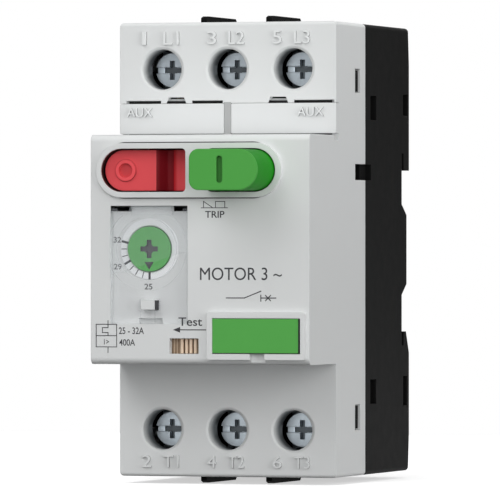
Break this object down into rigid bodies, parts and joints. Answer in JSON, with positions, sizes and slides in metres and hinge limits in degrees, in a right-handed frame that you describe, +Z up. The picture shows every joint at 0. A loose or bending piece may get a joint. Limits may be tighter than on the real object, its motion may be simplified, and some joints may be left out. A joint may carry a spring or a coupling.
{
  "type": "motor protection breaker",
  "caption": "Three-pole motor protection breaker for a 35 mm rail, with start and stop buttons, setting dial under a clear cover, and screw terminals.",
  "frame": {"origin": "middle of the rail seat, where the front of a 35 mm rail rests", "axes": "+Z up along the height, +Y to the wall, front faces -Y, +X to the right seen from the front"},
  "size_m": [0.045, 0.0786, 0.0928],
  "materials": {
    "light_grey_plastic": "fine matt moulded plastic",
    "black_plastic": "matt black moulded plastic",
    "dark_plastic": "matt dark moulded plastic",
    "green_plastic": "satin moulded plastic",
    "red_plastic": "satin moulded plastic",
    "ivory_plastic": "matt moulded plastic",
    "dial_green": "satin moulded plastic",
    "clear_plastic": "clear glossy plastic",
    "beige_plastic": "matt moulded plastic",
    "plate_green": "satin moulded plastic",
    "steel": "plain steel",
    "zinc_steel": "zinc plated steel, bluish",
    "copper": "bare copper",
    "bimetal": "dull rolled metal",
    "heater_wire": "dull resistance wire"
  },
  "bodies": {
    "housing": {"front_cover": "light_grey_plastic", "base_housing": "black_plastic", "mechanism_frame": "dark_plastic", "rocker_pin": "steel", "opening_springs": "steel", "line_conductor_1": "copper", "line_conductor_2": "copper", "line_conductor_3": "copper", "load_conductor_1": "copper", "load_conductor_2": "copper", "load_conductor_3": "copper", "magnet_coil_1": "copper", "magnet_coil_2": "copper", "magnet_coil_3": "copper", "magnet_yoke_1": "steel", "magnet_yoke_2": "steel", "magnet_yoke_3": "steel", "coil_bobbins": "ivory_plastic", "bimetal_1": "bimetal", "bimetal_2": "bimetal", "bimetal_3": "bimetal", "heater_1": "heater_wire", "heater_2": "heater_wire", "heater_3": "heater_wire", "arc_plates": "steel", "latch_spring": "steel"},
    "carrier": {"contact_carrier": "dark_plastic", "contact_bridge_1": "copper", "contact_bridge_2": "copper", "contact_bridge_3": "copper", "contact_springs": "steel"},
    "start_button": {"start_button": "green_plastic"},
    "stop_button": {"stop_button": "red_plastic"},
    "rocker_lever": {"rocker_lever": "ivory_plastic"},
    "setting_dial": {"setting_dial": "dial_green"},
    "dial_cover": {"dial_cover": "clear_plastic"},
    "test_slider": {"test_slider": "beige_plastic"},
    "marking_plate": {"marking_plate": "plate_green"},
    "trip_bar": {"trip_bar": "ivory_plastic"},
    "trip_latch": {"trip_latch": "steel"},
    "accessory_cover_left": {"accessory_cover_left": "light_grey_plastic"},
    "accessory_cover_right": {"accessory_cover_right": "light_grey_plastic"},
    "rail_latch": {"rail_latch": "black_plastic"},
    "striker_1": {"striker_1": "steel"},
    "striker_2": {"striker_2": "steel"},
    "striker_3": {"striker_3": "steel"},
    "terminal_screw_l1": {"terminal_screw_l1": "zinc_steel"},
    "terminal_screw_l2": {"terminal_screw_l2": "zinc_steel"},
    "terminal_screw_l3": {"terminal_screw_l3": "zinc_steel"},
    "terminal_screw_t1": {"terminal_screw_t1": "zinc_steel"},
    "terminal_screw_t2": {"terminal_screw_t2": "zinc_steel"},
    "terminal_screw_t3": {"terminal_screw_t3": "zinc_steel"},
    "clamp_cage_l1": {"clamp_cage_l1": "zinc_steel"},
    "clamp_cage_l2": {"clamp_cage_l2": "zinc_steel"},
    "clamp_cage_l3": {"clamp_cage_l3": "zinc_steel"},
    "clamp_cage_t1": {"clamp_cage_t1": "zinc_steel"},
    "clamp_cage_t2": {"clamp_cage_t2": "zinc_steel"},
    "clamp_cage_t3": {"clamp_cage_t3": "zinc_steel"}
  },
  "joints": [
    {"name": "start_push", "type": "slide", "parent": "housing", "child": "start_button", "axis": [0, 1, 0], "range_m": [0, 0.01]},
    {"name": "stop_push", "type": "slide", "parent": "housing", "child": "stop_button", "axis": [0, -1, 0], "range_m": [0, 0.008]},
    {"name": "rocker_turn", "type": "hinge", "parent": "housing", "child": "rocker_lever", "pos_m": [-0.0035, -0.0415, 0.0155], "axis": [0, 0, 1], "range_deg": [0, 50.93]},
    {"name": "carrier_slide", "type": "slide", "parent": "housing", "child": "carrier", "axis": [0, 1, 0], "range_m": [0, 0.004], "deforming": ["opening_springs"]},
    {"name": "dial_turn", "type": "hinge", "parent": "housing", "child": "setting_dial", "pos_m": [-0.0108, -0.0622, 0.0001], "axis": [0, 1, 0], "range_deg": [0, 107]},
    {"name": "dial_cover_open", "type": "hinge", "parent": "housing", "child": "dial_cover", "pos_m": [-0.01045, -0.0614, 0.0076], "axis": [-1, 0, 0], "range_deg": [0, 92]},
    {"name": "test_slide", "type": "slide", "parent": "housing", "child": "test_slider", "axis": [-1, 0, 0], "range_m": [0, 0.002], "stiffness_N_per_m": 120},
    {"name": "trip_bar_slide", "type": "slide", "parent": "housing", "child": "trip_bar", "axis": [-1, 0, 0], "range_m": [0, 0.002]},
    {"name": "trip_latch_turn", "type": "hinge", "parent": "housing", "child": "trip_latch", "pos_m": [-0.016, -0.0352, -0.003], "axis": [0, 1, 0], "range_deg": [0, 15.5]},
    {"name": "marking_plate_pull", "type": "slide", "parent": "housing", "child": "marking_plate", "axis": [0, -1, 0], "range_m": [0, 0.006]},
    {"name": "accessory_cover_left_pull", "type": "slide", "parent": "housing", "child": "accessory_cover_left", "axis": [0, -1, 0], "range_m": [0, 0.008]},
    {"name": "accessory_cover_right_pull", "type": "slide", "parent": "housing", "child": "accessory_cover_right", "axis": [0, -1, 0], "range_m": [0, 0.008]},
    {"name": "rail_latch_pull", "type": "slide", "parent": "housing", "child": "rail_latch", "axis": [0, 0, -1], "range_m": [0, 0.003], "stiffness_N_per_m": 600, "springref_m": -0.002, "deforming": ["latch_spring"]},
    {"name": "striker_1_throw", "type": "slide", "parent": "housing", "child": "striker_1", "axis": [0, -1, 0], "range_m": [0, 0.0015], "stiffness_N_per_m": 150},
    {"name": "striker_2_throw", "type": "slide", "parent": "housing", "child": "striker_2", "axis": [0, -1, 0], "range_m": [0, 0.0015], "stiffness_N_per_m": 150},
    {"name": "striker_3_throw", "type": "slide", "parent": "housing", "child": "striker_3", "axis": [0, -1, 0], "range_m": [0, 0.0015], "stiffness_N_per_m": 150},
    {"name": "screw_l1_turn", "type": "hinge", "parent": "housing", "child": "terminal_screw_l1", "pos_m": [-0.0136, -0.0386, 0.0357], "axis": [0, 1, 0], "range_deg": [0, 2520]},
    {"name": "cage_l1_lift", "type": "slide", "parent": "housing", "child": "clamp_cage_l1", "axis": [0, -1, 0], "range_m": [0, 0.0049]},
    {"name": "screw_l2_turn", "type": "hinge", "parent": "housing", "child": "terminal_screw_l2", "pos_m": [0, -0.0386, 0.0357], "axis": [0, 1, 0], "range_deg": [0, 2520]},
    {"name": "cage_l2_lift", "type": "slide", "parent": "housing", "child": "clamp_cage_l2", "axis": [0, -1, 0], "range_m": [0, 0.0049]},
    {"name": "screw_l3_turn", "type": "hinge", "parent": "housing", "child": "terminal_screw_l3", "pos_m": [0.0136, -0.0386, 0.0357], "axis": [0, 1, 0], "range_deg": [0, 2520]},
    {"name": "cage_l3_lift", "type": "slide", "parent": "housing", "child": "clamp_cage_l3", "axis": [0, -1, 0], "range_m": [0, 0.0049]},
    {"name": "screw_t1_turn", "type": "hinge", "parent": "housing", "child": "terminal_screw_t1", "pos_m": [-0.0136, -0.0386, -0.0357], "axis": [0, 1, 0], "range_deg": [0, 2520]},
    {"name": "cage_t1_lift", "type": "slide", "parent": "housing", "child": "clamp_cage_t1", "axis": [0, -1, 0], "range_m": [0, 0.0049]},
    {"name": "screw_t2_turn", "type": "hinge", "parent": "housing", "child": "terminal_screw_t2", "pos_m": [0, -0.0386, -0.0357], "axis": [0, 1, 0], "range_deg": [0, 2520]},
    {"name": "cage_t2_lift", "type": "slide", "parent": "housing", "child": "clamp_cage_t2", "axis": [0, -1, 0], "range_m": [0, 0.0049]},
    {"name": "screw_t3_turn", "type": "hinge", "parent": "housing", "child": "terminal_screw_t3", "pos_m": [0.0136, -0.0386, -0.0357], "axis": [0, 1, 0], "range_deg": [0, 2520]},
    {"name": "cage_t3_lift", "type": "slide", "parent": "housing", "child": "clamp_cage_t3", "axis": [0, -1, 0], "range_m": [0, 0.0049]}
  ],
  "couplings": [
    {"joint": "stop_push", "follows": "start_push", "ratio": 0.8},
    {"joint": "rocker_turn", "follows": "start_push", "rad_per_m": 88.884},
    {"joint": "carrier_slide", "follows": "start_push", "ratio": 0.4},
    {"joint": "trip_bar_slide", "follows": "test_slide", "ratio": 1},
    {"joint": "trip_latch_turn", "follows": "test_slide", "rad_per_m": 135.26},
    {"joint": "screw_l1_turn", "follows": "cage_l1_lift", "rad_per_m": 8976},
    {"joint": "screw_l2_turn", "follows": "cage_l2_lift", "rad_per_m": 8976},
    {"joint": "screw_l3_turn", "follows": "cage_l3_lift", "rad_per_m": 8976},
    {"joint": "screw_t1_turn", "follows": "cage_t1_lift", "rad_per_m": 8976},
    {"joint": "screw_t2_turn", "follows": "cage_t2_lift", "rad_per_m": 8976},
    {"joint": "screw_t3_turn", "follows": "cage_t3_lift", "rad_per_m": 8976}
  ]
}
